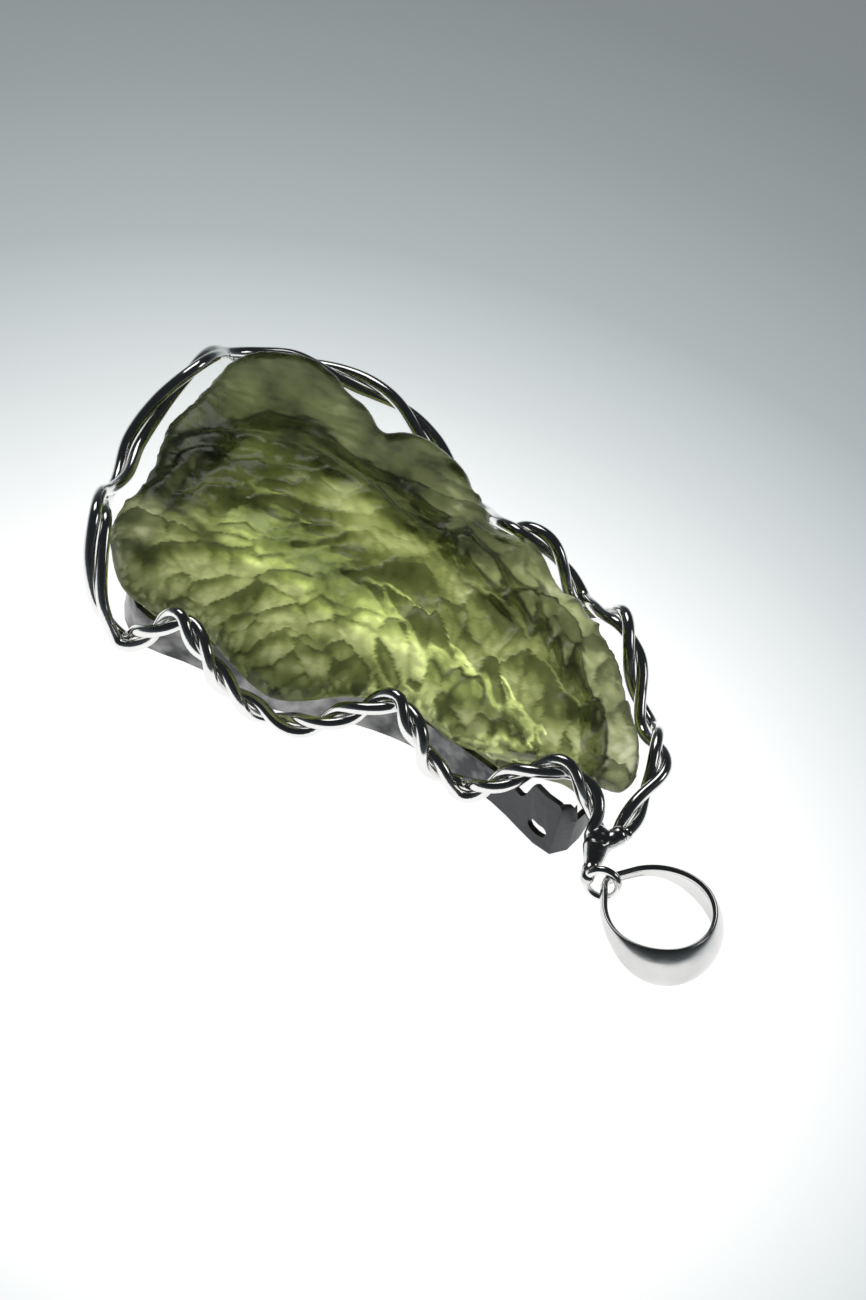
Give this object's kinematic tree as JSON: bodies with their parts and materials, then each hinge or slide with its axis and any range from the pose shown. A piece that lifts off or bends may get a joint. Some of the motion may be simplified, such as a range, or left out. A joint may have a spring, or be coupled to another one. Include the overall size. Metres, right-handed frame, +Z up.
{
  "type": "moldavite pendant",
  "caption": "Raw crescent-shaped green moldavite held in a silver band and twisted silver wire, with a bail that hangs it from a chain.",
  "frame": {"origin": "middle of the whole pendant seen from above, on the surface that it lies on", "axes": "+X along the pendant towards the bail, +Y across it away from the viewer, +Z up from its back to its face"},
  "size_m": [0.0552, 0.0296, 0.0089],
  "materials": {
    "moldavite": "etched natural glass, clear olive green, glossy in the pits",
    "silver": "polished silver, darkened in the corners"
  },
  "bodies": {
    "pendant": {"stone": "moldavite", "band": "silver", "wire_strand_a": "silver", "wire_strand_b": "silver", "stem": "silver", "eyelet": "silver"},
    "bail": {"bail": "silver"}
  },
  "joints": [
    {"name": "bail_swing", "type": "hinge", "parent": "pendant", "child": "bail", "pos_m": [0.02009, -0.00378, 0.00195], "axis": [0, 0, 1], "range_deg": [-45, 45]}
  ]
}
